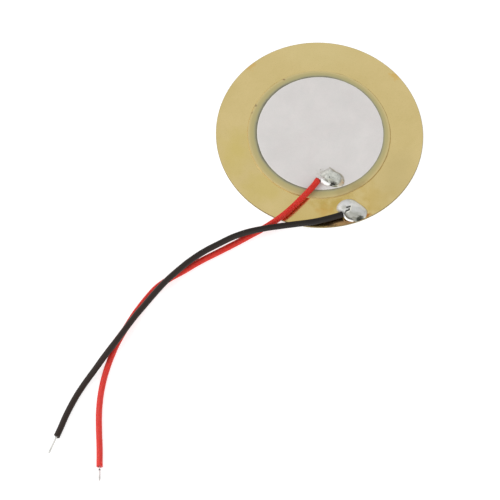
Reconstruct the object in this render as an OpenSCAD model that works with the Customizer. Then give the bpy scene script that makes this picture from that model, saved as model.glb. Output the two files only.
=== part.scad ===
// Piezo disc: a brass plate with a bonded piezoelectric ceramic, fired silver electrodes
// and two soldered leads with stripped ends. Millimetres, +Z up.
// The origin is the centre of the plate's underside, and the leads run out towards -X and -Y.

/* [Brass plate] */
// Diameter of the stamped plate
plate_d = 35; // [34:0.5:40]
// Thickness of the plate
plate_t = 0.3; // [0.2:0.01:0.45]
// Radius that the punch rolls on the plate's upper edge
plate_edge_r = 0.08; // [0.03:0.01:0.15]

/* [Ceramic disc] */
// Diameter of the piezoelectric ceramic
ceramic_d = 24; // [22:0.1:25]
// Thickness of the ceramic
ceramic_t = 0.22; // [0.15:0.01:0.35]
// Bevel on the ceramic's upper edge
ceramic_bevel = 0.04; // [0.01:0.01:0.1]
// How far to the right of the plate's centre the ceramic was bonded
ceramic_x = -0.1; // [-0.4:0.05:0.4]
// How far behind the plate's centre the ceramic was bonded
ceramic_y = -0.15; // [-0.4:0.05:0.4]

/* [Bond layer] */
// Thickness of the cured adhesive film
bond_t = 0.02; // [0.01:0.005:0.05]
// Width of the bead that squeezed out round the ceramic
bead_w = 0.16; // [0.08:0.01:0.3]
// Height of that bead above the plate
bead_h = 0.12; // [0.08:0.01:0.16]

/* [Electrodes] */
// Width of the ceramic left bare round the printed upper electrode
upper_margin = 1.3; // [0.8:0.05:2]
// Width of the ceramic left bare round the hidden lower electrode
lower_margin = 0.3; // [0.1:0.05:1]
// Thickness of each fired silver film
electrode_t = 0.01; // [0.005:0.001:0.03]
// How far to the right of the ceramic's centre the upper electrode was printed
print_x = 0.2; // [-0.3:0.05:0.3]
// How far behind the ceramic's centre the upper electrode was printed
print_y = 0.15; // [-0.3:0.05:0.3]

/* [Leads] */
// Outer diameter of the PVC insulation
wire_d = 1.04; // [0.92:0.02:1.12]
// Diameter of the stranded core
core_d = 0.3; // [0.2:0.02:0.4]
// Clearance between core and insulation
core_gap = 0.03; // [0.02:0.005:0.05]
// Length over which a core runs straight before it enters the insulation
core_exit = 0.15; // [0.1:0.05:0.3]
// Length of the twisted core left bare before each tinned tip
twist_len = 0.5; // [0.3:0.1:1]
// Diameter of the tinned tips
tip_d = 0.36; // [0.3:0.02:0.5]
// Length of the red lead's tinned tip
red_tip_len = 2; // [1.5:0.1:5]
// Length of the black lead's tinned tip
black_tip_len = 2.6; // [1.5:0.1:5]

/* [Solder joints] */
// Length of the joint on the upper electrode, across the plate
electrode_solder_l = 3.5; // [2.8:0.1:4]
// Width of that joint, towards the rim
electrode_solder_w = 3; // [2.4:0.1:3.4]
// Height of that joint
electrode_solder_h = 0.7; // [0.55:0.05:1]
// Distance of that joint's centre from the upper electrode's edge
electrode_solder_inset = 2.1; // [1.9:0.1:3]
// Length of the joint on the brass plate, across the plate
plate_solder_l = 5.1; // [4.4:0.1:5.2]
// Brass kept clear of that joint on the ceramic's side
plate_solder_gap = 1.25; // [1.1:0.05:2]
// Brass kept clear of that joint on the rim's side
plate_solder_rim = 0.15; // [0.1:0.05:0.6]
// Height of that joint
plate_solder_h = 0.95; // [0.7:0.05:1.3]
// Gap between a core and the solder that wets it
wetting_gap = 0.01; // [0.005:0.005:0.03]

/* [Hidden] */

// Facets round the true circles, which carry over as exact arcs
$fn = 180;

// Heights of the stacked layers
bond_z = plate_t;
lower_electrode_z = bond_z + bond_t;
ceramic_z = lower_electrode_z + electrode_t;
upper_electrode_z = ceramic_z + ceramic_t;
electrode_top_z = upper_electrode_z + electrode_t;

// Diameters of the electrodes
upper_electrode_d = ceramic_d - 2 * upper_margin;
lower_electrode_d = ceramic_d - 2 * lower_margin;

// Centres of the ceramic and of the printed electrode
ceramic_at = [ceramic_x, ceramic_y];
print_at = ceramic_at + [print_x, print_y];

// Directions from the centre in which the joints were made, in degrees from +X
electrode_solder_angle = -76;
plate_solder_angle = -67.3;
electrode_solder_r = upper_electrode_d / 2 - electrode_solder_inset;
// The joint on the brass fills the width of bare brass between its two clear margins
plate_solder_w = (plate_d - ceramic_d) / 2 - plate_solder_gap - plate_solder_rim;
plate_solder_r = plate_d / 2 - plate_solder_rim - plate_solder_w / 2;

// Centres of the joints' bases
electrode_solder_at = [
    print_at.x + electrode_solder_r * cos(electrode_solder_angle),
    print_at.y + electrode_solder_r * sin(electrode_solder_angle),
    electrode_top_z];
plate_solder_at = [
    plate_solder_r * cos(plate_solder_angle),
    plate_solder_r * sin(plate_solder_angle),
    plate_t];

// Outlines of the two joints, as shares of half their length and width
electrode_solder_outline = [
    [-1, 0.25], [-0.7, 0.7], [-0.2, 0.95], [0.4, 0.7], [0.9, 0.4], [1, -0.1],
    [0.85, -0.6], [0.35, -1], [-0.15, -0.9], [-0.35, -0.5], [-0.65, -0.1]];
plate_solder_outline = [
    [-1, 0.05], [-0.95, 0.45], [-0.65, 0.85], [-0.25, 1], [0.15, 0.95], [0.6, 0.6],
    [0.9, 0.2], [1, -0.1], [0.9, -0.5], [0.6, -0.8], [0.2, -0.95], [-0.2, -0.8],
    [-0.55, -0.55], [-0.85, -0.2]];

// Where each dome is highest, as a share of half its length and width
electrode_solder_peak = [0, 0.1];
plate_solder_peak = [-0.05, 0];

// Power of the domes' profile: below 1 the sides are steep and the top is flat
dome_power = 0.6;
// Rings from a dome's foot to its top, and points along each span of its outline
dome_rings = 7;
dome_steps = 3;

// Bare ends of the cores: shares of each joint's half length and half width, then the height
// of the core's underside above the joint's base
red_bare = [
    [0.4, -0.73, 0.04], [0, -0.9, 0.08], [-0.37, -0.8, 0.18], [-0.71, -0.57, 0.34],
    [-0.94, -0.37, 0.44]];
black_bare = [
    [0.16, -0.9, 0.04], [-0.12, -0.85, 0.16], [-0.3, -0.77, 0.3], [-0.44, -0.62, 0.44]];

// Route of each insulated lead from its joint to its stripped end: millimetres from the
// plate's centre, then the height of its centre in lead diameters, as the leads lie on
// the floor and on each other
red_lay = [
    [0.09, -9.12, 1.125], [-0.91, -10.66, 1.135], [-2.62, -12.81, 1.125],
    [-4.73, -15.24, 1.077], [-6.83, -17.13, 0.96], [-9.07, -18.75, 0.77],
    [-11.17, -20.08, 0.6], [-13.77, -21.78, 0.52], [-16.47, -23.48, 0.52],
    [-18.97, -25.07, 0.52], [-21.57, -26.97, 0.52], [-23.77, -28.47, 0.52],
    [-25.76, -30.17, 0.52], [-27.45, -32.46, 0.52], [-29.05, -35.06, 0.52],
    [-30.45, -37.85, 0.52], [-31.65, -40.55, 0.52], [-32.65, -43.64, 0.52],
    [-33.35, -46.64, 0.52], [-33.75, -49.63, 0.52], [-33.85, -52.83, 0.52],
    [-33.65, -56.03, 0.52], [-33.35, -59.23, 0.52], [-33.15, -62.43, 0.52]];
black_lay = [
    [4.32, -15.25, 0.92], [2.02, -16.17, 1.04], [-0.58, -17.02, 1.17], [-3.19, -17.65, 1.37],
    [-5.89, -18.32, 1.62], [-8.49, -19, 1.83], [-11.08, -19.74, 1.8],
    [-13.58, -20.75, 1.66], [-15.97, -22.13, 1.53], [-18.27, -23.63, 1.53],
    [-20.46, -25.43, 1.58], [-22.46, -27.43, 1.63], [-24.36, -29.53, 1.63],
    [-26.06, -31.82, 1.63], [-27.65, -34.12, 1.63], [-29.15, -36.32, 1.63],
    [-30.55, -38.62, 1.63], [-31.95, -40.92, 1.63], [-33.45, -43.21, 1.36],
    [-34.95, -45.58, 0.92], [-36.55, -48.16, 0.6], [-37.85, -50.65, 0.52],
    [-39.05, -53.55, 0.52], [-39.95, -56.25, 0.52], [-40.45, -57.65, 0.52]];

// Sides of a lead; its flats lie at its own radius and one of them faces down
sides = 8;
// How far the core reaches into its tinned tip
tip_bite = 0.2;

// Routes in millimetres
red_route = laid(red_lay);
black_route = laid(black_lay);
red_ends_in = in_joint(red_bare, electrode_solder_at, electrode_solder_l, electrode_solder_w);
black_ends_in = in_joint(black_bare, plate_solder_at, plate_solder_l, plate_solder_w);

function laid(points) = [for (p = points) [p.x, p.y, p.z * wire_d]];

function in_joint(points, at, l, w) =
    [for (p = points) at + [p.x * l / 2, p.y * w / 2, p.z + core_d / 2]];

function unit(v) = v / norm(v);

function last(points) = points[len(points) - 1];

// Direction of a route at its point i
function heading(route, i) =
    unit(route[min(i + 1, len(route) - 1)] - route[max(i - 1, 0)]);

// Ring of points round a route at its point i
function ring(route, i, r) =
    let (ahead = heading(route, i))
    let (side = unit(cross(ahead, [0, 0, 1])))
    let (top = cross(side, ahead))
    [for (k = [0 : sides - 1])
        let (a = (k + 0.5) * 360 / sides)
        route[i] + r / cos(180 / sides) * (cos(a) * side + sin(a) * top)];

// Point at share t of the curve from b to c, which passes through both
function between(a, b, c, d, t) =
    0.5 * (2 * b + (c - a) * t + (2 * a - 5 * b + 4 * c - d) * pow(t, 2)
        + (3 * b - a - 3 * c + d) * pow(t, 3));

// Smooth closed curve through an outline's points
function smooth_loop(outline, steps) =
    let (n = len(outline))
    [for (i = [0 : n - 1], s = [0 : steps - 1])
        between(outline[(i + n - 1) % n], outline[i], outline[(i + 1) % n],
            outline[(i + 2) % n], s / steps)];

// A core's route: bare end in the solder, insulated length, then straight on into the tip
function core_route(bare, route) =
    let (behind = unit(route[0] - route[1]), ahead = unit(last(route) - route[len(route) - 2]))
    concat(
        bare,
        [route[0] + behind * core_exit],
        route,
        [last(route) + ahead * (twist_len + tip_bite)]);

// Quads between neighbouring rings of a sweep; points of ring i start at first + i * step
function skin(rings, first, step) =
    [for (i = [0 : rings - 2], k = [0 : sides - 1])
        let (a = first + i * step, n = (k + 1) % sides)
        [a + k, a + n, a + step + n, a + step + k]];

function reversed(faces) = [for (f = faces) [for (k = [len(f) - 1 : -1 : 0]) f[k]]];

// Solid round bar along a route
module bar(route, r) {
    n = len(route);
    polyhedron(
        points = [for (i = [0 : n - 1]) each ring(route, i, r)],
        faces = concat(
            skin(n, 0, sides),
            [[for (k = [sides - 1 : -1 : 0]) k]],
            [[for (k = [0 : sides - 1]) (n - 1) * sides + k]]));
}

// Tube along a route, open at both ends
module sleeve(route, r, bore_r) {
    n = len(route);
    step = 2 * sides;
    end = (n - 1) * step;
    polyhedron(
        points = [for (i = [0 : n - 1]) each concat(ring(route, i, r), ring(route, i, bore_r))],
        faces = concat(
            skin(n, 0, step),
            reversed(skin(n, sides, step)),
            [for (k = [0 : sides - 1])
                let (m = (k + 1) % sides) [k, sides + k, sides + m, m]],
            [for (k = [0 : sides - 1])
                let (m = (k + 1) % sides) [end + k, end + m, end + sides + m, end + sides + k]]));
}

// Solder dome over an outline; size is its length, width and height
module dome(outline, size, peak) {
    half = [size.x / 2, size.y / 2];
    loop = [for (p = smooth_loop(outline, dome_steps)) [p.x * half.x, p.y * half.y]];
    top = [peak.x * half.x, peak.y * half.y];
    n = len(loop);
    rings = [for (i = [0 : dome_rings - 1])
        let (a = 90 * i / dome_rings, share = pow(cos(a), dome_power))
        [for (p = loop) let (q = top + (p - top) * share) [q.x, q.y, size.z * sin(a)]]];
    polyhedron(
        points = concat([for (r = rings) each r], [[top.x, top.y, size.z]]),
        faces = concat(
            [[for (k = [0 : n - 1]) k]],
            [for (i = [0 : dome_rings - 2], k = [0 : n - 1])
                let (a = i * n, m = (k + 1) % n) [a + k, a + n + k, a + n + m, a + m]],
            [for (k = [0 : n - 1])
                let (a = (dome_rings - 1) * n) [a + k, dome_rings * n, a + (k + 1) % n]]));
}

// Stranded core with its tinned tip
module core(bare, route, tip_len) {
    ahead = unit(last(route) - route[len(route) - 2]);
    bar(core_route(bare, route), core_d / 2);
    translate(last(route) + ahead * twist_len)
        rotate([0, 90, atan2(ahead.y, ahead.x)])
            cylinder(d = tip_d, h = tip_len);
}

module brass_plate() {
    r = plate_d / 2;
    color([0.80, 0.71, 0.50])
        rotate_extrude() {
            square([r - plate_edge_r, plate_t]);
            square([r, plate_t - plate_edge_r]);
            translate([r - plate_edge_r, plate_t - plate_edge_r])
                circle(plate_edge_r);
        }
}

module bond_layer() {
    seat = bond_t + electrode_t;
    r = ceramic_d / 2;
    film_r = lower_electrode_d / 2;
    color([0.55, 0.50, 0.32])
        translate([ceramic_at.x, ceramic_at.y, bond_z])
            rotate_extrude()
                polygon([
                    [0, 0], [r + bead_w, 0], [r + bead_w * 0.75, bead_h * 0.15],
                    [r + bead_w * 0.35, bead_h * 0.45], [r + bead_w * 0.12, bead_h], [r, bead_h],
                    [r, seat], [film_r, seat], [film_r, bond_t], [0, bond_t]]);
}

module lower_electrode() {
    color([0.80, 0.80, 0.78])
        translate([ceramic_at.x, ceramic_at.y, lower_electrode_z])
            cylinder(d = lower_electrode_d, h = electrode_t);
}

module ceramic_disc() {
    r = ceramic_d / 2;
    color([0.69, 0.66, 0.49])
        translate([ceramic_at.x, ceramic_at.y, ceramic_z])
            rotate_extrude()
                polygon([
                    [0, 0], [r, 0], [r, ceramic_t - ceramic_bevel],
                    [r - ceramic_bevel, ceramic_t], [0, ceramic_t]]);
}

module upper_electrode() {
    color([0.84, 0.82, 0.81])
        translate([print_at.x, print_at.y, upper_electrode_z])
            cylinder(d = upper_electrode_d, h = electrode_t);
}

module electrode_solder() {
    size = [electrode_solder_l, electrode_solder_w, electrode_solder_h];
    color([0.76, 0.77, 0.75])
        difference() {
            translate(electrode_solder_at)
                dome(electrode_solder_outline, size, electrode_solder_peak);
            bar(core_route(red_ends_in, red_route), core_d / 2 + wetting_gap);
        }
}

module plate_solder() {
    size = [plate_solder_l, plate_solder_w, plate_solder_h];
    color([0.76, 0.77, 0.76])
        difference() {
            translate(plate_solder_at)
                dome(plate_solder_outline, size, plate_solder_peak);
            bar(core_route(black_ends_in, black_route), core_d / 2 + wetting_gap);
        }
}

module red_conductor() {
    color([0.80, 0.79, 0.76])
        core(red_ends_in, red_route, red_tip_len);
}

module red_insulation() {
    color([0.80, 0.17, 0.14])
        sleeve(red_route, wire_d / 2, core_d / 2 + core_gap);
}

module black_conductor() {
    color([0.80, 0.79, 0.76])
        core(black_ends_in, black_route, black_tip_len);
}

module black_insulation() {
    color([0.13, 0.12, 0.12])
        sleeve(black_route, wire_d / 2, core_d / 2 + core_gap);
}

brass_plate();
bond_layer();
lower_electrode();
ceramic_disc();
upper_electrode();
electrode_solder();
plate_solder();
red_conductor();
red_insulation();
black_conductor();
black_insulation();
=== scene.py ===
import math

import bmesh
import bpy
from mathutils import Matrix, Vector, noise


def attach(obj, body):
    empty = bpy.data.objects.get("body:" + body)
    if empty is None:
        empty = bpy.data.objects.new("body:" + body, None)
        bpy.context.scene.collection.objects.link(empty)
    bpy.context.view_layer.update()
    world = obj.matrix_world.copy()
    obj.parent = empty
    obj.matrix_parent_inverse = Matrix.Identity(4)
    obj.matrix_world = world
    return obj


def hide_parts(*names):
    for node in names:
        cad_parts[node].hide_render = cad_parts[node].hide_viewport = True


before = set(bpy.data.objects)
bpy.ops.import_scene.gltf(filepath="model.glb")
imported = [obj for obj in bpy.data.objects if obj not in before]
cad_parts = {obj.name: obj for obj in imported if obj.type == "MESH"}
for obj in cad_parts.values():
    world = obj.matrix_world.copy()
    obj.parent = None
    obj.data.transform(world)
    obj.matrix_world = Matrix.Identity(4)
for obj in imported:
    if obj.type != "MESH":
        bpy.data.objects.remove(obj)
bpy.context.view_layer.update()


# ---- Brass plate ----------------------------------------------------------------------
# The carrier is punched from thin rolled brass. It is never lacquered, so it has dulled
# all over, with warmer tarnish where the iron and the flux were near. Dark patches under
# the black lead and a dark line round the solder pillow's far foot are painted shade.

def place(tree, kind, inputs=(), **settings):
    """Adds a shader node; an input that is another node's socket is linked."""
    node = tree.nodes.new("ShaderNode" + kind)
    for setting, value in settings.items():
        setattr(node, setting, value)
    for socket, value in dict(inputs).items():
        if isinstance(value, bpy.types.NodeSocket):
            tree.links.new(value, node.inputs[socket])
        else:
            node.inputs[socket].default_value = value
    return node


def paint(red, green, blue):
    """A colour as on a paint card, 0 to 255, in the shader's linear values."""
    def linear(v):
        v /= 255
        return v / 12.92 if v <= 0.04045 else ((v + 0.055) / 1.055) ** 2.4
    return (linear(red), linear(green), linear(blue), 1)


def new_finish(name, roughness, metallic=0.0):
    """A material with its shader, and the place on the part in millimetres."""
    finish = bpy.data.materials.new(name)
    finish.use_nodes = True
    tree = finish.node_tree
    shader = tree.nodes["Principled BSDF"]
    shader.inputs["Roughness"].default_value = roughness
    shader.inputs["Metallic"].default_value = metallic
    where = place(tree, "TexCoord").outputs["Object"]
    mm = place(tree, "VectorMath", {0: where, "Scale": 1000.0}, operation="SCALE")
    return finish, tree, shader, mm.outputs["Vector"]


def calc(tree, operation, a, b=0.0):
    return place(tree, "Math", {0: a, 1: b}, operation=operation).outputs[0]


def over(tree, mask, under, upper):
    """The upper colour laid over the one under it where the mask is white."""
    mix = place(tree, "Mix", {0: mask, 6: under, 7: upper}, data_type="RGBA")
    return mix.outputs[2]


def roughened(tree, shader, height, depth_mm, strength=1.0):
    """Fine relief on the surface."""
    bump = place(tree, "Bump", {"Strength": strength, "Distance": depth_mm / 1000,
                                "Height": height})
    tree.links.new(bump.outputs[0], shader.inputs["Normal"])


def new_group(name, inputs, outputs):
    """An empty shader node group with named sockets."""
    group = bpy.data.node_groups.new(name, "ShaderNodeTree")
    for label, kind, start in inputs:
        socket = group.interface.new_socket(label, in_out="INPUT",
                                            socket_type="NodeSocket" + kind)
        if start is not None:
            socket.default_value = start
    for label, kind in outputs:
        group.interface.new_socket(label, in_out="OUTPUT", socket_type="NodeSocket" + kind)
    return group, group.nodes.new("NodeGroupInput").outputs, group.nodes.new("NodeGroupOutput")


def mottle_group():
    """Uneven tone: broad clouds with a share of fine grain in them."""
    group, given, out = new_group(
        "mottle",
        [("Position", "Vector", None), ("Clouds per mm", "Float", 0.12),
         ("Grain per mm", "Float", 6.0), ("Grain share", "Float", 0.3)],
        [("Tone", "Float"), ("Grain", "Float")])
    cloud = place(group, "TexNoise", {
        "Vector": given["Position"], "Scale": given["Clouds per mm"],
        "Detail": 4.0, "Roughness": 0.62, "Distortion": 0.4})
    grain = place(group, "TexNoise", {
        "Vector": given["Position"], "Scale": given["Grain per mm"],
        "Detail": 3.0, "Roughness": 0.7})
    tone = place(group, "Mix", {
        0: given["Grain share"], 2: cloud.outputs[0], 3: grain.outputs[0]})
    spread = place(group, "MapRange", {0: tone.outputs[0], 1: 0.3, 2: 0.7})
    group.links.new(spread.outputs[0], out.inputs["Tone"])
    group.links.new(grain.outputs[0], out.inputs["Grain"])
    return group


def stain_and_light_group():
    """A ragged round patch: white at its centre, gone at its edge."""
    group, given, out = new_group(
        "stain_and_light",
        [("Position", "Vector", None), ("Centre", "Vector", None),
         ("Reach", "Vector", (1.0, 1.0, 1.0)), ("Softness", "Float", 0.5),
         ("Ragged", "Float", 0.3), ("Tears per mm", "Float", 1.5)],
        [("Mask", "Float")])
    offset = place(group, "VectorMath", {0: given["Position"], 1: given["Centre"]},
                   operation="SUBTRACT")
    share = place(group, "VectorMath", {0: offset.outputs[0], 1: given["Reach"]},
                  operation="DIVIDE")
    reach = place(group, "VectorMath", {0: share.outputs[0]}, operation="LENGTH")
    tears = place(group, "TexNoise", {
        "Vector": given["Position"], "Scale": given["Tears per mm"], "Detail": 3.0})
    shift = place(group, "MapRange", {
        0: tears.outputs[0], 1: 0.3, 2: 0.7, 3: -1.0, 4: 1.0}, clamp=False)
    edge = calc(group, "ADD", reach.outputs["Value"],
                calc(group, "MULTIPLY", shift.outputs[0], given["Ragged"]))
    mask = place(group, "MapRange", {
        0: edge, 1: calc(group, "SUBTRACT", 1.0, given["Softness"]), 2: 1.0, 3: 1.0, 4: 0.0},
        interpolation_type="SMOOTHSTEP")
    group.links.new(mask.outputs[0], out.inputs["Mask"])
    return group


MOTTLE = mottle_group()
STAIN_AND_LIGHT = stain_and_light_group()


def mottled(tree, mm, clouds, grain, share):
    """Uneven tone and fine grain, both 0 to 1; clouds and grain are given per mm."""
    node = place(tree, "Group", {"Position": mm, "Clouds per mm": clouds,
                                 "Grain per mm": grain, "Grain share": share},
                 node_tree=MOTTLE)
    return node.outputs["Tone"], node.outputs["Grain"]


def stains_and_painted_light(tree, mm, colour, patch_list):
    """Lays patches over a colour, real stains and painted light and shade alike: centre, reach,
    softness, raggedness, strength, tint.
    """
    for centre, reach, softness, ragged, strength, tint in patch_list:
        mask = place(tree, "Group", {
            "Position": mm, "Centre": (*centre, 0.6), "Reach": (*reach, 50.0),
            "Softness": softness, "Ragged": ragged, "Tears per mm": 1.6 / min(reach)},
            node_tree=STAIN_AND_LIGHT)
        colour = over(tree, calc(tree, "MULTIPLY", mask.outputs[0], strength), colour, tint)
    return colour


def line_group():
    """White beside the straight line between two points, fading to nothing at its reach."""
    group, given, out = new_group(
        "line",
        [("Position", "Vector", None), ("From", "Vector", None), ("To", "Vector", None),
         ("Reach", "Float", 0.1)],
        [("Mask", "Float")])
    along = place(group, "VectorMath", {0: given["To"], 1: given["From"]},
                  operation="SUBTRACT").outputs[0]
    here = place(group, "VectorMath", {0: given["Position"], 1: given["From"]},
                 operation="SUBTRACT").outputs[0]
    dot = place(group, "VectorMath", {0: here, 1: along}, operation="DOT_PRODUCT")
    size = place(group, "VectorMath", {0: along, 1: along}, operation="DOT_PRODUCT")
    share = place(group, "Math", {0: dot.outputs["Value"], 1: size.outputs["Value"]},
                  operation="DIVIDE", use_clamp=True).outputs[0]
    foot = place(group, "VectorMath", {0: along, "Scale": share}, operation="SCALE")
    gap = place(group, "VectorMath", {0: here, 1: foot.outputs[0]}, operation="DISTANCE")
    mask = place(group, "MapRange", {
        0: gap.outputs["Value"], 1: 0.0, 2: given["Reach"], 3: 1.0, 4: 0.0},
        interpolation_type="SMOOTHSTEP")
    group.links.new(mask.outputs[0], out.inputs["Mask"])
    return group


LINE = line_group()


def drawn(tree, mm, colour, points, reach, strength, tint, shake=0.12):
    """Draws a slightly shaky line through the points over a colour."""
    flat = place(tree, "VectorMath", {0: mm, 1: (1.0, 1.0, 0.0)}, operation="MULTIPLY")
    noisy = place(tree, "TexNoise", {"Vector": mm, "Scale": 2.5, "Detail": 2.0})
    swing = place(tree, "VectorMath", {0: noisy.outputs["Color"], 1: (0.5, 0.5, 0.5)},
                  operation="SUBTRACT")
    swing = place(tree, "VectorMath", {0: swing.outputs[0], 1: (shake * 2, shake * 2, 0.0)},
                  operation="MULTIPLY")
    shaken = place(tree, "VectorMath", {0: flat.outputs[0], 1: swing.outputs[0]})
    mask = 0.0
    for a, b in zip(points, points[1:]):
        stroke = place(tree, "Group", {
            "Position": shaken.outputs[0], "From": (*a, 0.0), "To": (*b, 0.0),
            "Reach": reach}, node_tree=LINE)
        mask = calc(tree, "MAXIMUM", stroke.outputs[0], mask)
    return over(tree, calc(tree, "MULTIPLY", mask, strength), colour, tint)


def radius_from(tree, mm, x, y):
    """Distance on the flat from a centre, in millimetres."""
    flat = place(tree, "VectorMath", {0: mm, 1: (1.0, 1.0, 0.0)}, operation="MULTIPLY")
    offset = place(tree, "VectorMath", {0: flat.outputs[0], 1: (x, y, 0.0)},
                   operation="SUBTRACT")
    return place(tree, "VectorMath", {0: offset.outputs[0]}, operation="LENGTH").outputs["Value"]


def brass_finish():
    finish, tree, shader, mm = new_finish("tarnished_brass", 0.3, 1.0)
    tone, grain = mottled(tree, mm, clouds=0.16, grain=5.0, share=0.3)
    plain = over(tree, tone, paint(240, 217, 148), paint(255, 231, 165))
    colour = stains_and_painted_light(tree, mm, plain, [
        ((4.0, -19.0), (17.0, 8.5), 0.9, 0.15, 0.75, paint(234, 204, 116)),
        ((-9.0, -11.0), (5.0, 4.0), 0.9, 0.3, 0.4, paint(236, 214, 118)),
        ((-14.0, -4.0), (3.6, 6.5), 1.0, 0.2, 0.5, paint(238, 216, 118)),
        ((9.6, -11.2), (4.6, 3.2), 0.9, 0.4, 0.5, paint(232, 200, 112)),
        ((3.8, -12.9), (6.2, 2.3), 0.9, 0.4, 0.75, paint(220, 188, 96)),
        ((1.5, -14.5), (2.0, 1.6), 0.8, 0.4, 0.5, paint(232, 184, 92)),
        ((3.7, -16.6), (4.2, 1.2), 0.45, 0.3, 0.85, paint(188, 146, 102)),
        ((4.9, -16.2), (1.6, 0.5), 0.7, 0.35, 0.85, paint(178, 140, 98)),
        # Painted shade and dark reflection under the black lead.
        ((2.2, -17.0), (2.0, 0.4), 0.8, 0.3, 0.85, paint(104, 84, 60)),
        ((5.4, -16.25), (1.2, 0.5), 0.7, 0.3, 0.8, paint(172, 136, 94)),
        ((8.55, -14.75), (0.9, 0.6), 0.75, 0.4, 0.9, paint(206, 134, 62)),
        ((13.0, -8.0), (6.5, 9.0), 0.9, 0.2, 0.6, paint(233, 211, 147)),
        ((0.0, 15.5), (12.0, 5.0), 1.0, 0.2, 0.35, paint(255, 236, 172)),
        # Painted shade under the black lead's cut end.
        ((4.2, -15.95), (1.4, 0.45), 0.8, 0.3, 0.45, paint(120, 94, 66)),
        ((12.7, 11.9), (1.5, 1.0), 0.8, 0.4, 0.5, paint(250, 200, 96)),
        ((-12.4, 12.2), (1.4, 1.0), 0.8, 0.4, 0.5, paint(250, 198, 106)),
    ])
    # Painted shade: a dark line round the far foot of the solder pillow.
    colour = drawn(tree, mm, colour, [(5.2, -12.0), (6.1, -12.1), (7.0, -12.7), (7.9, -13.3),
                                      (8.45, -13.9), (8.5, -14.5)], 0.16, 0.45,
                   paint(140, 124, 76))
    height = place(tree, "SeparateXYZ", {0: mm}).outputs["Z"]
    upper = place(tree, "MapRange", {0: height, 1: 0.1, 2: 0.2})
    colour = over(tree, upper.outputs[0], plain, colour)
    punched = place(tree, "MapRange", {0: radius_from(tree, mm, 0.0, 0.0), 1: 17.41, 2: 17.46})
    colour = over(tree, calc(tree, "MULTIPLY", punched.outputs[0], 0.85), colour,
                  paint(136, 122, 88))
    tree.links.new(colour, shader.inputs["Base Color"])
    rough = place(tree, "MapRange", {0: tone, 3: 0.25, 4: 0.18})
    dulled = calc(tree, "MAXIMUM", rough.outputs[0],
                  calc(tree, "MULTIPLY", punched.outputs[0], 0.75))
    tree.links.new(dulled, shader.inputs["Roughness"])
    rolled = place(tree, "VectorMath", {0: mm, 1: (6.0, 0.35, 1.0)}, operation="MULTIPLY")
    lines = place(tree, "TexNoise", {"Vector": rolled.outputs[0], "Scale": 1.0, "Detail": 2.0})
    relief = calc(tree, "ADD", lines.outputs[0], grain)
    roughened(tree, shader, relief, 0.001, 0.25)
    return finish


def refinish(node, finish):
    """A node whose shape is right keeps it, and gets its real finish."""
    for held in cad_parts[node].material_slots:
        held.material = finish


refinish("brass_plate", brass_finish())


# ---- Bond layer -----------------------------------------------------------------------
# Epoxy holds the ceramic to the brass. Clamping pressed it out to a thin, uneven amber
# bead all round the ceramic; under the ceramic it is a film.

def unevenness(*place_on):
    """A smooth, uneven value between -1 and 1 at a place of three numbers."""
    return noise.noise(Vector(place_on))


def shell_mesh(name, rings, closed=True):
    """A skin over rings of points; closed joins the last ring to the first."""
    n = len(rings[0])
    faces = [(i * n + k, i * n + (k + 1) % n, (i + 1) * n + (k + 1) % n, (i + 1) * n + k)
             for i in range(len(rings) - 1) for k in range(n)]
    last = (len(rings) - 1) * n
    if closed:
        faces += [(last + k, last + (k + 1) % n, (k + 1) % n, k) for k in range(n)]
    else:
        faces += [tuple(range(n))[::-1], tuple(range(last, last + n))]
    mesh = bpy.data.meshes.new(name)
    mesh.from_pydata([tuple(v) for ring in rings for v in ring], [], faces)
    return mesh


def finish_piece(name, mesh, finish, node):
    """Puts a mesh in the scene as a smooth piece that rides on the part."""
    shape = bmesh.new()
    shape.from_mesh(mesh)
    bmesh.ops.recalc_face_normals(shape, faces=shape.faces)
    shape.to_mesh(mesh)
    shape.free()
    mesh.materials.append(finish)
    mesh.shade_smooth()
    piece = bpy.data.objects.new(name, mesh)
    bpy.context.scene.collection.objects.link(piece)
    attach(piece, "root")
    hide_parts(node)
    return piece


def adhesive_finish():
    finish, tree, shader, mm = new_finish("cured_epoxy", 0.35)
    tone, _ = mottled(tree, mm, clouds=0.25, grain=4.0, share=0.3)
    colour = over(tree, tone, paint(172, 142, 74), paint(206, 180, 116))
    colour = stains_and_painted_light(tree, mm, colour, [
        ((-6.5, 9.95), (0.7, 0.5), 0.6, 0.3, 0.9, paint(138, 104, 58)),
        ((-11.0, 4.6), (0.5, 0.7), 0.6, 0.3, 0.9, paint(138, 116, 76)),
        ((-11.6, 3.0), (0.4, 0.7), 0.6, 0.3, 0.9, paint(132, 110, 72)),
        ((10.0, -6.0), (7.0, 8.0), 0.8, 0.2, 0.6, paint(158, 126, 66)),
    ])
    tree.links.new(colour, shader.inputs["Base Color"])
    return finish


def bond_mesh():
    """The film, and the squeezed-out bead whose width and height wander."""
    cx, cy, plate_top = -0.1, -0.15, 0.30
    ceramic_r, silver_r, silver_z, ceramic_z = 12.0, 11.7, 0.02, 0.03
    steps = 1440
    rings = [[] for _ in range(9)]
    for k in range(steps):
        a = 2 * math.pi * k / steps
        run = (math.cos(a) * 9, math.sin(a) * 9)
        wide = 0.115 + 0.045 * max(-1, min(1, 1.6 * unevenness(*run, 0.3)))
        high = 0.085 + 0.033 * max(-1, min(1, 1.6 * unevenness(*run, 5.3)))
        bead = [(1.0, 0.0), (0.8, 0.12), (0.45, 0.42), (0.18, 0.8), (0.0, 1.0)]
        profile = ([(0.02, 0.0)] + [(ceramic_r + wide * w, high * h) for w, h in bead]
                   + [(ceramic_r, ceramic_z), (silver_r, ceramic_z), (silver_r, silver_z)])
        for ring, (out, up) in zip(rings, profile):
            ring.append(Vector((cx + out * math.cos(a), cy + out * math.sin(a),
                                plate_top + up)) / 1000)
    return shell_mesh("bond", rings, closed=False)


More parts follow.
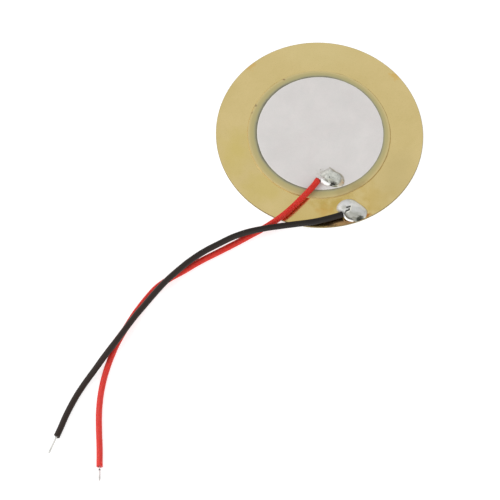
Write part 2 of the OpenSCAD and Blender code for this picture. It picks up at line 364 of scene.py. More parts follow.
finish_piece("squeezed_bond", bond_mesh(), adhesive_finish(), "bond_layer")


# ---- Lower electrode ------------------------------------------------------------------
# Silver paste screened on the ceramic's underside and fired before the ceramic was bonded.
# It lies in the epoxy, 0.01 mm thick, and is hidden in use.

def silver_finish(name, roughness):
    finish, tree, shader, mm = new_finish(name, roughness, 0.35)
    tone, grain = mottled(tree, mm, clouds=0.22, grain=6.0, share=0.35)
    colour = over(tree, tone, paint(210, 205, 203), paint(223, 218, 216))
    tints, _ = mottled(tree, mm, clouds=0.5, grain=2.0, share=0.2)
    colour = over(tree, calc(tree, "MULTIPLY", tints, 0.24), colour, paint(198, 204, 200))
    roughened(tree, shader, grain, 0.006, 0.6)
    return finish, tree, shader, mm, colour


back_silver, tree, shader, _, colour = silver_finish("fired_silver_back", 0.5)
tree.links.new(colour, shader.inputs["Base Color"])
refinish("lower_electrode", back_silver)


# ---- Ceramic disc ---------------------------------------------------------------------
# Lead zirconate titanate, pressed, fired and lapped. Its bare margin shows round the
# electrode, darker right beside the silver and lighter at its own edge.

def graded(tree, value, stops):
    """Colours in order along a value."""
    ramp = place(tree, "ValToRGB", {0: value})
    marks = ramp.color_ramp.elements
    while len(marks) < len(stops):
        marks.new(0.5)
    for mark, (at, colour) in zip(marks, stops):
        mark.position, mark.color = at, colour
    return ramp.outputs["Color"]


def ceramic_finish():
    finish, tree, shader, mm = new_finish("fired_ceramic", 0.5)
    tone, grain = mottled(tree, mm, clouds=0.35, grain=3.0, share=0.3)
    east = place(tree, "SeparateXYZ", {0: mm}).outputs[0]
    wander = calc(tree, "MULTIPLY", calc(tree, "SUBTRACT", tone, 0.5), 0.16)
    from_print = calc(tree, "ADD", radius_from(tree, mm, 0.1, 0.0), wander)
    from_print = calc(tree, "ADD", from_print, calc(tree, "MULTIPLY", east, 0.012))
    inner = place(tree, "MapRange", {0: from_print, 1: 10.7, 2: 11.7})
    colour = graded(tree, inner.outputs[0], [
        (0.0, paint(96, 94, 84)), (0.10, paint(120, 117, 99)), (0.28, paint(155, 149, 114)),
        (0.5, paint(170, 158, 109)), (1.0, paint(178, 163, 112))])
    to_rim = calc(tree, "ADD", radius_from(tree, mm, -0.1, -0.15), wander)
    outer = place(tree, "MapRange", {0: to_rim, 1: 11.55, 2: 11.85})
    colour = over(tree, calc(tree, "MULTIPLY", outer.outputs[0], 0.6), colour,
                  paint(204, 182, 126))
    colour = over(tree, calc(tree, "MULTIPLY", tone, 0.35), colour, paint(156, 154, 102))
    colour = stains_and_painted_light(tree, mm, colour, [
        ((6.4, -10.2), (4.8, 2.6), 0.9, 0.3, 0.7, paint(150, 131, 82)),
        ((-6.47, 9.85), (0.3, 0.2), 0.5, 0.3, 0.8, paint(128, 96, 62)),
        ((-10.99, 4.6), (0.25, 0.3), 0.5, 0.3, 0.7, paint(122, 104, 72)),
        ((-11.61, 3.23), (0.2, 0.3), 0.5, 0.3, 0.7, paint(132, 108, 72)),
    ])
    tree.links.new(colour, shader.inputs["Base Color"])
    roughened(tree, shader, grain, 0.003, 0.4)
    return finish


refinish("ceramic_disc", ceramic_finish())


# ---- Upper electrode ------------------------------------------------------------------
# The same silver, screened a little smaller than the ceramic. The screen's mesh leaves a
# finely toothed edge, and soldering left a flux tide line and specks round the joint.

TIDE = [(1.08, -7.2), (1.51, -6.79), (1.94, -6.48), (2.4, -6.79), (2.91, -7.2), (3.41, -7.45),
        (3.91, -7.75), (4.23, -8.17), (4.37, -8.77), (4.36, -9.27), (4.18, -9.72)]

print_silver, tree, shader, mm, colour = silver_finish("fired_silver", 0.5)
colour = stains_and_painted_light(tree, mm, colour, [
    ((2.6, -8.3), (2.0, 1.8), 0.5, 0.15, 0.5, paint(200, 196, 180)),
    ((0.7, -7.5), (1.0, 1.0), 0.9, 0.4, 0.5, paint(176, 174, 158)),
    ((4.0, -9.15), (0.62, 0.85), 0.7, 0.3, 0.9, paint(192, 174, 142)),
    ((4.28, -9.1), (0.18, 0.24), 0.7, 0.3, 0.9, paint(200, 142, 102)),
    ((3.1, -9.85), (1.2, 0.25), 0.7, 0.3, 0.8, paint(206, 202, 176)),
    # Painted shade: a dark band below the joint's foot.
    ((2.95, -9.9), (0.6, 0.16), 0.6, 0.3, 0.9, paint(108, 106, 82)),
    ((0.5, -8.0), (0.14, 0.14), 0.6, 0.4, 0.8, paint(130, 118, 112)),
    ((0.9, -7.5), (0.17, 0.13), 0.6, 0.4, 0.8, paint(140, 130, 124)),
    ((1.1, -7.1), (0.13, 0.12), 0.6, 0.4, 0.8, paint(144, 138, 126)),
    ((0.4, -6.9), (0.12, 0.14), 0.6, 0.4, 0.7, paint(150, 142, 132)),
    ((0.4, -7.4), (0.12, 0.1), 0.6, 0.4, 0.7, paint(168, 142, 132)),
])
colour = drawn(tree, mm, colour, TIDE[:3], 0.2, 0.3, paint(150, 144, 122))
colour = drawn(tree, mm, colour, TIDE[2:], 0.24, 0.65, paint(140, 134, 108))
colour = drawn(tree, mm, colour, TIDE[3:9], 0.28, 0.42, paint(138, 128, 104))
edge = calc(tree, "SUBTRACT", radius_from(tree, mm, 0.1, 0.0), 10.45)
edge = place(tree, "MapRange", {0: edge, 1: 0.0, 2: 0.2})
colour = over(tree, calc(tree, "MULTIPLY", edge.outputs[0], 0.35), colour, paint(232, 228, 220))
tree.links.new(colour, shader.inputs["Base Color"])


def print_mesh():
    """The printed layer, 10 micrometres thick, with the toothed edge of a screen print."""
    print_r, ceramic_top, thick, teeth, steps = 10.7, 0.55, 0.01, 504, 2016
    rings = []
    for share, up in [(0.0002, 0.0), (1.0, 0.0), (1.0, 0.6), (0.9992, 1.0), (0.99, 1.0),
                      (0.75, 1.0), (0.4, 1.0), (0.0002, 1.0)]:
        ring = []
        for k in range(steps):
            a = 2 * math.pi * k / steps
            tooth = 0.5 + 0.5 * math.cos(a * teeth) * (0.6 + 0.4 * math.sin(a * 4))
            wander = 0.5 + 0.5 * unevenness(math.cos(a) * 14, math.sin(a) * 14, 2.7)
            reach = (print_r - 0.03 * tooth - 0.05 * wander) * share
            ring.append(Vector((0.1 + reach * math.cos(a), reach * math.sin(a),
                                ceramic_top + thick * up)) / 1000)
        rings.append(ring)
    return shell_mesh("print", rings, closed=False)


finish_piece("screened_silver", print_mesh(), print_silver, "upper_electrode")


# ---- Red lead -------------------------------------------------------------------------
# Seven tinned copper strands in extruded red PVC. One bare end is bent down into the
# joint on the electrode and is wetted with solder; the other is stripped and dipped.

# Millimetres: radii of the insulation, its bore and one strand, how far the strands lie
# from the core's middle, and the length of one turn of their twist.
LEAD_R, BORE_R, STRAND_R, LAY_OUT, TURN_LENGTH = 0.52, 0.18, 0.05, 0.1, 3.2


def bend(a, b, c, d, t):
    """A point between b and c on the smooth line through all four."""
    return 0.5 * (b * 2 + (c - a) * t + (a * 2 - b * 5 + c * 4 - d) * t * t
                  + (b * 3 - a - c * 3 + d) * t ** 3)


def curve_through(points, step):
    """A smooth line through the points, cut into even steps; all in millimetres."""
    p = [Vector(q) for q in points]
    p = [p[0] * 2 - p[1]] + p + [p[-1] * 2 - p[-2]]
    fine = []
    for a, b, c, d in zip(p, p[1:], p[2:], p[3:]):
        fine += [bend(a, b, c, d, k / 24) for k in range(24)]
    fine.append(p[-2])
    total = sum((b - a).length for a, b in zip(fine, fine[1:]))
    count = max(2, round(total / step))
    even, gone = [fine[0]], 0.0
    for a, b in zip(fine, fine[1:]):
        span = (b - a).length
        while len(even) < count and gone + span >= total * len(even) / count:
            even.append(a.lerp(b, (total * len(even) / count - gone) / span))
        gone += span
    return even + [fine[-1]]


def stations(line, close=()):
    """Point, sideways, upwards, ahead and distance gone at each point, without twist."""
    side = (line[1] - line[0]).cross(Vector((0, 0, 1))).normalized()
    out, gone = [], 0.0
    for i, point in enumerate(line):
        ahead = (line[min(i + 1, len(line) - 1)] - line[max(i - 1, 0)]).normalized()
        side = (side - ahead * side.dot(ahead)).normalized()
        if i:
            gone += (point - line[i - 1]).length
        out.append((point, side, side.cross(ahead), ahead, gone))
    first, last = out[0], out[-1]
    head = [(first[0] + first[3] * g, *first[1:4], g) for g in close]
    tail = [(last[0] - last[3] * g, *last[1:4], last[4] - g) for g in reversed(close)]
    return [first] + head + out[1:-1] + tail + [last]


def ring_at(station, radius_of, sides, ahead_by=None):
    """A ring of points round a station; radius_of takes the angle."""
    point, side, top, ahead, _ = station
    ring = []
    for k in range(sides):
        a = 2 * math.pi * k / sides
        shift = ahead * ahead_by(a) if ahead_by else Vector()
        ring.append((point + shift + (side * math.cos(a) + top * math.sin(a)) * radius_of(a))
                    / 1000)
    return ring


def fading(distance, reach):
    """1 at no distance, fading smoothly to nothing at about twice the reach."""
    return math.exp(-(distance / reach) ** 2)


def rounded(gone, reach):
    """0 at a cut edge, rising on a quarter circle to 1 at the reach."""
    return math.sqrt(max(0.0, 1 - (1 - min(1, gone / reach)) ** 2))


def sleeve_mesh(name, line, flare, ragged):
    """Insulation: melted back to a soft lip at its joint, cut by a stripper at its tip."""
    held = stations(line, (0.01, 0.025, 0.045, 0.07, 0.1, 0.14))
    total, sides = held[-1][4], 32
    outer, bore = [], []
    for place_on in held:
        gone = place_on[4]
        left = total - gone
        lip = 1 - 0.14 * (1 - rounded(gone, 0.07))
        lip *= 1 + 0.07 * fading(gone, 0.6)
        lip *= 1 - 0.06 * (1 - rounded(left, 0.05))
        lip *= 0.991 + 0.009 * unevenness(gone * 0.7, 3.7, len(name))
        wide = flare * fading(left, 0.3)
        torn = ragged * fading(left, 0.25)
        outer.append(ring_at(
            place_on,
            lambda a: LEAD_R * lip * (1 + wide * (math.cos(a) ** 2 - 0.35 * math.sin(a) ** 2)
                                      - 0.006 * (1 + math.cos(6 * a - gone * 2.2))),
            sides,
            lambda a: -torn * (0.5 + 0.5 * math.cos(2 * a + 0.7)) ** 2
            - torn * 0.3 * (0.5 + 0.5 * math.cos(5 * a))))
        bore.append(ring_at(place_on, lambda a: BORE_R, sides,
                            lambda a: -torn * 0.5 * (0.5 + 0.5 * math.cos(2 * a + 0.7)) ** 2))
    return shell_mesh(name, outer + bore[::-1])


def add_shell(points, faces, rings):
    """Adds a skin with closed ends to lists of points and faces."""
    n, start = len(rings[0]), len(points)
    points += [tuple(v) for ring in rings for v in ring]
    faces += [(start + i * n + k, start + i * n + (k + 1) % n,
               start + (i + 1) * n + (k + 1) % n, start + (i + 1) * n + k)
              for i in range(len(rings) - 1) for k in range(n)]
    last = start + (len(rings) - 1) * n
    faces += [tuple(range(start, start + n))[::-1], tuple(range(last, last + n))]


def core_mesh(name, line, bare, tip, spread, bed):
    """Strands laid up round each other, with solder over them where they are bare."""
    held = stations(line)
    total = held[-1][4]
    points, faces = [], []

    def loose(gone):
        return 1 + spread * math.sin(math.pi * min(1, max(0, gone / bare))) ** 0.7

    for strand in range(7):
        end = total - 0.09 * ((strand * 5) % 7) / 7
        rings = []
        for at in held:
            if at[4] > end:
                break
            turn = strand * math.pi / 3 + at[4] / TURN_LENGTH * 2 * math.pi
            off = 0 if strand == 0 else LAY_OUT * min(loose(at[4]), (at[0].z - bed) / 0.15)
            axis = at[0] + (at[1] * math.cos(turn) + at[2] * math.sin(turn)) * off
            rings.append(ring_at((axis, *at[1:]), lambda a: STRAND_R, 8))
        add_shell(points, faces, rings)
    for start, stop, thick in [(0, bare * 0.86, 0.152 * (1 + spread)),
                               (total - tip, total - 0.12, 0.172)]:
        coat = [at for at in held if start <= at[4] <= stop]
        rings = []
        for at in coat:
            ends = min(1, (at[4] - start + 0.02) / 0.2, (stop - at[4] + 0.02) / 0.2)
            lumps = 1 + 0.04 * unevenness(at[4] * 2.3, 7.1, len(name))
            r = min(BORE_R if start else at[0].z - bed, thick * lumps)
            r *= 0.55 + 0.45 * math.sqrt(ends)
            rings.append(ring_at(
                at,
                lambda a: r * (0.97 + 0.03 * math.cos(6 * a - at[4] / TURN_LENGTH * 12 * math.pi)),
                24))
        add_shell(points, faces, rings)
    mesh = bpy.data.meshes.new(name)
    mesh.from_pydata(points, [], faces)
    return mesh


def tinned_finish():
    finish, tree, shader, mm = new_finish("tinned_copper", 0.35, 0.2)
    tone, grain = mottled(tree, mm, clouds=1.5, grain=8.0, share=0.3)
    colour = over(tree, tone, paint(226, 224, 220), paint(242, 240, 236))
    colour = stains_and_painted_light(tree, mm, colour, [
        ((-33.1, -64.2), (3.0, 3.0), 0.3, 0.1, 1.0, paint(214, 204, 203)),
        ((-41.2, -59.4), (3.0, 3.0), 0.3, 0.1, 1.0, paint(214, 214, 210)),
        ((-41.5, -60.0), (0.8, 0.9), 0.7, 0.1, 0.8, paint(194, 194, 190)),
        ((-33.08, -64.4), (0.4, 0.5), 0.6, 0.2, 0.8, paint(176, 174, 170)),
        # Painted shade where the strands leave the red sleeve at its stripped end.
        ((-33.15, -62.95), (0.4, 0.25), 0.5, 0.2, 0.9, paint(96, 86, 84)),
        # Wetted solder on the strands in both joints, painted brighter still as a highlight.
        ((1.2, -9.4), (1.4, 1.0), 0.3, 0.2, 1.0, paint(255, 255, 253)),
        ((5.2, -15.7), (1.2, 0.7), 0.3, 0.2, 1.0, paint(255, 255, 253)),
        # Painted shade where the strands leave the sleeves at both joints.
        ((0.36, -9.4), (0.2, 0.3), 0.7, 0.3, 0.85, paint(110, 66, 56)),
        ((4.35, -15.3), (0.2, 0.2), 0.6, 0.3, 0.8, paint(70, 62, 56)),
    ])
    tree.links.new(colour, shader.inputs["Base Color"])
    roughened(tree, shader, grain, 0.004, 0.5)
    return finish


def pvc_finish(name, dull, bright, handled, handled_y, marks=(), glow=0.0):
    """PVC; from one y to the other it turns to a paler tone, which is painted light.

    Glow is how far light soaks into it.
    """
    finish, tree, shader, mm = new_finish(name, 0.5)
    tone, grain = mottled(tree, mm, clouds=0.5, grain=2.2, share=0.2)
    colour = over(tree, tone, dull, bright)
    out_along = place(tree, "SeparateXYZ", {0: mm}).outputs["Y"]
    # Painted light: the lead turns paler towards its far end.
    pale = place(tree, "MapRange", {0: out_along, 1: handled_y[0], 2: handled_y[1]})
    colour = over(tree, calc(tree, "MULTIPLY", pale.outputs[0], 0.75), colour, handled)
    colour = stains_and_painted_light(tree, mm, colour, marks)
    tree.links.new(colour, shader.inputs["Base Color"])
    roughened(tree, shader, grain, 0.006, 0.4)
    shader.inputs["Specular IOR Level"].default_value = 0.22
    shader.inputs["Subsurface Weight"].default_value = glow
    shader.inputs["Subsurface Radius"].default_value = (1.0, 0.2, 0.12)
    shader.inputs["Subsurface Scale"].default_value = 0.001
    return finish


TINNED = tinned_finish()


def lead(colour, finish, bare, lay, tip, spread, bed, reach, flare, ragged):
    """Lays one lead: its core and its insulation.

    bare and lay are the routes of the bare core in the joint and of the insulation, the
    latter with its height in lead diameters; tip is the dipped length. Spread is how far
    the strands open in the joint, and bed the height of what they lie on there. Reach is
    how far the melted insulation goes past its route; flare and ragged shape its cut end.
    """
    route = [Vector((x, y, z * 2 * LEAD_R)) for x, y, z in lay]
    bare = [Vector(p) for p in bare]
    behind = (route[0] - route[1]).normalized()
    ahead = (route[-1] - route[-2]).normalized()
    whole = curve_through(bare + [route[0] + behind * 0.15] + route
                          + [route[-1] + ahead * (0.5 + tip)], 0.1)
    bare_length = sum((b - a).length for a, b in zip(bare + route[:1], (bare + route[:1])[1:]))
    core = finish_piece(colour + "_strands",
                        core_mesh(colour + "_strands", whole, bare_length, tip + 0.2, spread, bed),
                        TINNED, colour + "_conductor")
    line = curve_through(route, 0.2)
    for p in line:
        p.z = min(p.z, max(q.z for q in route))
    reached = [route[0] + behind * reach] + line
    sleeve = finish_piece(colour + "_sleeve",
                          sleeve_mesh(colour + "_sleeve", reached, flare, ragged),
                          finish, colour + "_insulation")


RED_PVC = pvc_finish(
    "red_pvc", paint(188, 42, 32), paint(202, 52, 41),
    # The paler tone towards the far end is painted light.
    handled=paint(212, 68, 60), handled_y=(-42, -50), glow=0.7,
    # The dark mark at the sleeve's cut end by the joint is painted shade.
    marks=[((0.5, -9.45), (0.3, 0.3), 0.7, 0.3, 0.85, paint(70, 36, 28)),
           ((-33.15, -62.45), (0.8, 0.14), 0.7, 0.2, 0.6, paint(140, 48, 58))])

lead("red", RED_PVC,
     bare=[(2.1, -9.4, 0.72), (1.86, -9.66, 0.82), (1.4, -9.58, 0.9), (0.94, -9.35, 0.96),
           (0.52, -9.08, 1.04)],
     lay=[(0.09, -9.12, 1.125), (-0.91, -10.66, 1.135), (-2.62, -12.81, 1.125),
          (-4.73, -15.24, 1.077), (-6.83, -17.13, 0.96), (-9.07, -18.75, 0.77),
          (-11.17, -20.08, 0.6), (-13.77, -21.78, 0.52), (-16.47, -23.48, 0.52),
          (-18.97, -25.07, 0.52), (-21.57, -26.97, 0.52), (-23.77, -28.47, 0.52),
          (-25.76, -30.17, 0.52), (-27.45, -32.46, 0.52), (-29.05, -35.06, 0.52),
          (-30.45, -37.85, 0.52), (-31.65, -40.55, 0.52), (-32.65, -43.64, 0.52),
          (-33.35, -46.64, 0.52), (-33.75, -49.63, 0.52), (-33.85, -52.83, 0.52),
          (-33.65, -56.03, 0.52), (-33.35, -59.23, 0.52), (-33.15, -62.43, 0.52)],
     tip=2.0, spread=1.2, bed=0.57, reach=0.04, flare=0.03, ragged=0.02)


# ---- Black lead -----------------------------------------------------------------------
# The same wire in black. It leaves the joint on the brass and rides over the red lead on
# its way out; a blunt stripper tore the end of its insulation.

BLACK_PVC = pvc_finish(
    "black_pvc", paint(24, 20, 17), paint(34, 28, 24),
    # The paler tone towards the far end is painted light.
    handled=paint(48, 38, 33), handled_y=(-18, -30))

lead("black", BLACK_PVC,
     bare=[(6.27, -16.12, 0.47), (5.56, -16.05, 0.58), (5.06, -15.86, 0.72),
           (4.71, -15.5, 0.87)],
     lay=[(4.32, -15.25, 0.92), (2.02, -16.17, 1.04), (-0.58, -17.02, 1.17),
          (-3.19, -17.65, 1.37), (-5.89, -18.32, 1.62), (-8.49, -19, 1.83),
          (-11.08, -19.74, 1.8), (-13.58, -20.75, 1.66), (-15.97, -22.13, 1.53),
          (-18.27, -23.63, 1.53), (-20.46, -25.43, 1.58), (-22.46, -27.43, 1.63),
          (-24.36, -29.53, 1.63), (-26.06, -31.82, 1.63), (-27.65, -34.12, 1.63),
          (-29.15, -36.32, 1.63), (-30.55, -38.62, 1.63), (-31.95, -40.92, 1.63),
          (-33.45, -43.21, 1.36), (-34.95, -45.58, 0.92), (-36.55, -48.16, 0.6),
          (-37.85, -50.65, 0.52), (-39.05, -53.55, 0.52), (-39.95, -56.25, 0.52),
          (-40.45, -57.65, 0.52)],
     tip=2.6, spread=0.1, bed=0.31, reach=0.1, flare=0.02, ragged=0.2)


# ---- Joint on the electrode -----------------------------------------------------------
# A lump of solder on the fired silver, chilled too soon: it is dull and grainy, with
# pinholes on top, a hollow where the wire goes in, and a thin skirt to the left. Its
# colour carries painted light: a highlight on its far rim, and shade on its lower side
# and foot, in the pinholes and in the hollow.

def hollow(x, y, cx, cy, across, along):
    """1 in the middle of an oval, fading smoothly to nothing at twice its half sizes."""
    return fading(math.hypot((x - cx) / across, (y - cy) / along), 1.0)


def rise(value, low, high):
    """A smooth step from 0 at low to 1 at high."""
    t = max(0.0, min(1.0, (value - low) / (high - low)))
    return t * t * (3 - 2 * t)


def smooth_rim(outline, centre, half, steps):
    """A smooth closed rim through an outline given as shares of half length and width."""
    n, rim = len(outline), []
    for i in range(n):
        a, b, c, d = (Vector(outline[(i + k) % n]) for k in (-1, 0, 1, 2))
        for s in range(steps):
            p = bend(a, b, c, d, s / steps)
            rim.append((centre[0] + p.x * half[0], centre[1] + p.y * half[1]))
    return rim


def mound_mesh(name, rim, top, foot_z, lift_at):
    """A closed lump of solder: its foot is the rim, lift_at gives its height."""
    count = 90
    rings = []
    for i in range(count):
        share = 1 - (i / count) ** 1.6
        ring = []
        for x, y in rim:
            x, y = top[0] + (x - top[0]) * share, top[1] + (y - top[1]) * share
            lift = max(0.0, lift_at(x, y, share)) if i else 0.0
            ring.append(Vector((x, y, foot_z + lift)) / 1000)
        rings.append(ring)
    return shell_mesh(name, rings, closed=False)


def solder_finish(name, dull, bright, roughness, grains):
    finish, tree, shader, mm = new_finish(name, roughness, 0.4)
    tone, grain = mottled(tree, mm, clouds=0.9, grain=grains, share=0.4)
    roughened(tree, shader, grain, 0.02, 0.6)
    return finish, tree, shader, mm, over(tree, tone, dull, bright)


def electrode_joint_lift(x, y, share):
    """The joint's height: a dome with a thin skirt, its grain, pinholes and hollow."""
    lift = 0.66 * math.sqrt(max(0.0, 1 - share ** 3.33))
    lift *= 0.2 + 0.8 * rise(x + 0.35 * (y + 8), 0.3, 1.2)
    inside = 1 - share ** 6
    lift += inside * 0.035 * unevenness(x * 1.7, y * 1.7, 3.1)
    lift += inside * 0.035 * unevenness(x * 4.5, y * 4.5, 8.2)
    lift += inside * 0.014 * unevenness(x * 11, y * 11, 2.9)
    lift += inside * 0.04 * hollow(x, y, 1.95, -7.35, 0.3, 0.2)
    lift -= 0.28 * hollow(x, y, 1.94, -8.49, 0.07, 0.07)
    lift -= 0.12 * hollow(x, y, 2.53, -8.48, 0.08, 0.06)
    lift -= 0.5 * hollow(x, y, 2.66, -9.5, 0.42, 0.28) * rise(lift, 0.04, 0.2)
    lift -= 0.4 * hollow(x, y, 2.2, -9.7, 0.3, 0.18) * rise(lift, 0.04, 0.2)
    return lift


JOINT_RIM = smooth_rim(
    [(-1, 0.25), (-0.7, 0.7), (-0.2, 0.95), (0.4, 0.7), (0.9, 0.4), (1, -0.1), (0.85, -0.6),
     (0.35, -1), (-0.15, -0.9), (-0.35, -0.5), (-0.65, -0.1)],
    (2.18, -8.34), (1.75, 1.5), 30)
joint_solder, tree, shader, mm, colour = solder_finish(
    "chilled_solder", paint(148, 151, 144), paint(228, 229, 221), 0.62, 5.5)
colour = stains_and_painted_light(tree, mm, colour, [
    # Painted highlight on the far rim.
    ((1.95, -7.3), (0.3, 0.22), 0.8, 0.2, 0.8, paint(242, 242, 230)),
    ((0.9, -7.7), (0.7, 0.7), 0.6, 0.4, 0.25, paint(168, 166, 158)),
    ((1.3, -7.65), (0.8, 0.6), 0.8, 0.2, 0.5, paint(232, 230, 222)),
    # Painted shade on the lower side.
    ((2.1, -9.0), (1.3, 0.55), 0.8, 0.2, 0.65, paint(144, 144, 134)),
    # Painted shade in the pinholes.
    ((1.94, -8.49), (0.13, 0.12), 0.6, 0.2, 0.9, paint(80, 82, 72)),
    ((2.53, -8.48), (0.12, 0.1), 0.6, 0.2, 0.6, paint(120, 122, 112)),
    ((2.05, -8.95), (0.5, 0.14), 0.7, 0.3, 0.4, paint(206, 204, 178)),
    # Painted shade below the foot and in the hollow where the wire goes in.
    ((3.0, -9.55), (0.62, 0.36), 0.8, 0.3, 0.85, paint(104, 102, 80)),
    ((2.58, -9.47), (0.66, 0.38), 0.7, 0.25, 0.97, paint(30, 28, 20)),
    ((2.2, -9.74), (0.42, 0.24), 0.7, 0.25, 0.95, paint(44, 44, 36)),
])
tree.links.new(colour, shader.inputs["Base Color"])
finish_piece("joint_on_silver",
             mound_mesh("joint_on_silver", JOINT_RIM, (2.18, -8.19), 0.56,
                        electrode_joint_lift),
             joint_solder, "electrode_solder")


# ---- Joint on the plate ---------------------------------------------------------------
# A broad pillow of solder on the brass. It tore as it set, so a crack with raised lips
# runs across it to the wire, and it has a hollow at the plate's rim. Its colour carries
# painted light: highlights on its upper left, along its far rim and on the crack's lip,
# and shade on its lower part, in the hollow, in the crack and in the crease.

# The crack and its first wide part, the crease beside the wire, and the crack's raised lip
CRACK_BLOB = [(5.09, -13.93), (5.3, -13.82), (5.57, -13.74)]
CRACK = [(5.46, -14.2), (5.43, -14.39), (4.99, -14.58), (4.65, -15.0), (4.48, -15.21)]
CREASE = [(4.49, -15.17), (5.16, -15.53), (5.83, -15.76), (6.08, -15.97)]
LIP = [(5.78, -13.68), (5.78, -14.03), (5.72, -14.37), (5.47, -14.71), (5.0, -14.85)]


def gap_to(line, x, y):
    """Distance on the flat from a point to a line through points."""
    gaps = []
    for (ax, ay), (bx, by) in zip(line, line[1:]):
        dx, dy = bx - ax, by - ay
        share = max(0.0, min(1.0, ((x - ax) * dx + (y - ay) * dy) / (dx * dx + dy * dy)))
        gaps.append(math.hypot(x - ax - share * dx, y - ay - share * dy))
    return min(gaps)


def plate_joint_lift(x, y, share):
    """The joint's height: a dome, torn by the crack and hollowed at the plate's rim."""
    lift = 0.93 * math.sqrt(max(0.0, 1 - share ** 3.33))
    inside = 1 - share ** 6
    lift += inside * 0.03 * unevenness(x * 0.9, y * 0.9, 5.5)
    lift += inside * 0.008 * unevenness(x * 4, y * 4, 1.2)
    lift -= 0.36 * fading(gap_to(CRACK, x, y), 0.085)
    lift -= 0.34 * fading(gap_to(CRACK_BLOB, x, y), 0.14)
    lift += 0.035 * fading(gap_to(LIP, x, y), 0.09)
    lift -= 0.16 * fading(gap_to(CREASE, x, y), 0.07) * rise(lift, 0.1, 0.3)
    lift -= 0.5 * hollow(x, y, 7.15, -15.78, 0.55, 0.26) * rise(lift, 0.05, 0.4)
    lift -= 0.1 * hollow(x, y, 5.71, -14.67, 0.05, 0.05)
    return lift


PILLOW_RIM = smooth_rim(
    [(-1, 0.05), (-0.95, 0.45), (-0.65, 0.85), (-0.25, 1), (0.12, 0.93), (0.55, 0.58),
     (0.88, 0.24), (1, -0.05), (0.93, -0.5), (0.61, -0.79), (0.29, -0.96), (-0.15, -0.77),
     (-0.5, -0.46), (-0.85, -0.2)],
    (5.92, -14.16), (2.55, 2.05), 26)
plate_solder, tree, shader, mm, colour = solder_finish(
    "torn_solder", paint(188, 189, 184), paint(206, 206, 203), 0.58, 3.5)
colour = stains_and_painted_light(tree, mm, colour, [
    # Painted highlights on the upper left and along the upper right.
    ((4.4, -13.3), (1.6, 1.5), 0.8, 0.2, 0.4, paint(228, 227, 231)),
    ((6.6, -13.35), (1.6, 0.7), 0.8, 0.2, 0.6, paint(232, 231, 226)),
    # Painted shade on the lower part.
    ((6.1, -15.3), (2.4, 0.9), 0.8, 0.2, 0.75, paint(148, 148, 138)),
    ((4.55, -13.95), (0.7, 0.6), 0.8, 0.2, 0.55, paint(158, 158, 146)),
    # Painted shade in and beside the hollow at the plate's rim.
    ((6.2, -15.8), (0.65, 0.4), 0.7, 0.2, 0.65, paint(108, 106, 94)),
    ((6.8, -15.98), (0.75, 0.32), 0.8, 0.25, 0.8, paint(100, 102, 86)),
    ((7.4, -15.66), (1.0, 0.56), 0.7, 0.25, 0.95, paint(42, 44, 30)),
])
# Painted highlights along the far rim and the crack's lip; painted shade in the crease and the
# crack.
colour = drawn(tree, mm, colour, [(5.6, -12.6), (6.3, -12.8), (7.4, -13.5), (8.0, -14.1)],
               0.24, 0.6, paint(238, 236, 222), 0.04)
colour = drawn(tree, mm, colour, LIP, 0.13, 0.5, paint(240, 238, 218), 0.03)
colour = drawn(tree, mm, colour, CREASE, 0.12, 0.5, paint(96, 106, 104), 0.03)
colour = drawn(tree, mm, colour, CRACK[2:], 0.1, 0.8, paint(84, 90, 80), 0.03)
colour = drawn(tree, mm, colour, CRACK[:3], 0.19, 1.0, paint(20, 24, 14), 0.03)
colour = drawn(tree, mm, colour, CRACK_BLOB, 0.28, 0.92, paint(52, 56, 46), 0.08)
tree.links.new(colour, shader.inputs["Base Color"])
finish_piece("joint_on_brass",
             mound_mesh("joint_on_brass", PILLOW_RIM, (5.78, -14.16), 0.3, plate_joint_lift),
             plate_solder, "plate_solder")


# ---- Studio ---------------------------------------------------------------------------
# A white table in a light tent, two large soft boxes, and the camera. The table lies a
# hair under the part, so the two faces don't fight, and is clear from below.

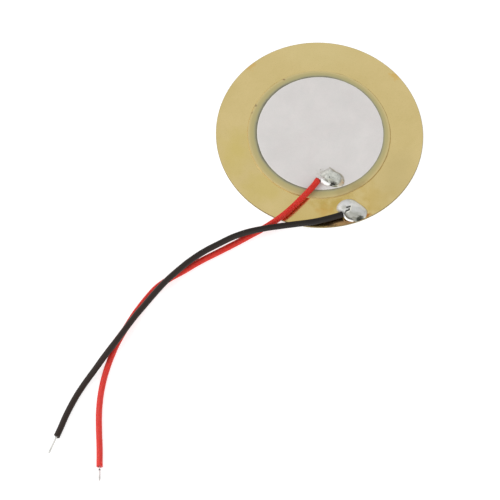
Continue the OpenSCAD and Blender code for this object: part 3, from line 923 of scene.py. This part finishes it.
def studio():
    table = bpy.data.meshes.new("table")
    half, level = 1.5, -0.00003
    table.from_pydata([(-half, -half, level), (half, -half, level), (half, half, level),
                       (-half, half, level)], [], [(0, 1, 2, 3)])
    floor = bpy.data.objects.new("table", table)
    bpy.context.scene.collection.objects.link(floor)
    white, tree, shader, _ = new_finish("white_table", 0.9)
    shader.inputs["Base Color"].default_value = (0.6, 0.6, 0.6, 1)
    shader.inputs["Emission Color"].default_value = (1, 1, 1, 1)
    shader.inputs["Emission Strength"].default_value = 0.6
    from_below = place(tree, "NewGeometry").outputs["Backfacing"]
    tree.links.new(calc(tree, "SUBTRACT", 1.0, from_below), shader.inputs["Alpha"])
    white.cycles.emission_sampling = "NONE"
    table.materials.append(white)

    world = bpy.data.worlds.new("light_tent")
    bpy.context.scene.world = world
    world.use_nodes = True
    world.node_tree.nodes["Background"].inputs["Color"].default_value = (1, 1, 1, 1)
    world.node_tree.nodes["Background"].inputs["Strength"].default_value = 0.64

    for name, spot, size, watts in [("left_soft_box", (-0.9, 0.1, 0.8), 1.0, 7.4),
                                    ("front_fill", (0.15, -0.95, 0.6), 1.2, 6.2)]:
        lamp = bpy.data.lights.new(name, "AREA")
        lamp.size = size
        lamp.energy = watts
        soft_box = bpy.data.objects.new(name, lamp)
        soft_box.location = spot
        aim = Vector((-0.01, -0.02, 0)) - soft_box.location
        soft_box.rotation_euler = aim.to_track_quat("-Z", "Y").to_euler()
        bpy.context.scene.collection.objects.link(soft_box)


def camera():
    rise_angle, roll, distance = math.radians(64.734), math.radians(2.95), 0.6
    target = Vector((-10.72, -22.2, 0)) / 1000
    lens = bpy.data.cameras.new("camera")
    lens.lens, lens.sensor_width = 260, 36
    lens.clip_start = 0.01
    eye = bpy.data.objects.new("camera", lens)
    bpy.context.scene.collection.objects.link(eye)
    right = Vector((math.cos(roll), math.sin(roll) * math.sin(rise_angle),
                    math.sin(roll) * math.cos(rise_angle)))
    up = Vector((-math.sin(roll), math.cos(roll) * math.sin(rise_angle),
                 math.cos(roll) * math.cos(rise_angle)))
    back = Vector((0, -math.cos(rise_angle), math.sin(rise_angle)))
    turn = Matrix((right, up, back)).transposed().to_4x4()
    eye.matrix_world = Matrix.Translation(target + back * distance) @ turn
    bpy.context.scene.camera = eye


studio()
camera()
bpy.context.scene.view_settings.view_transform = "Standard"
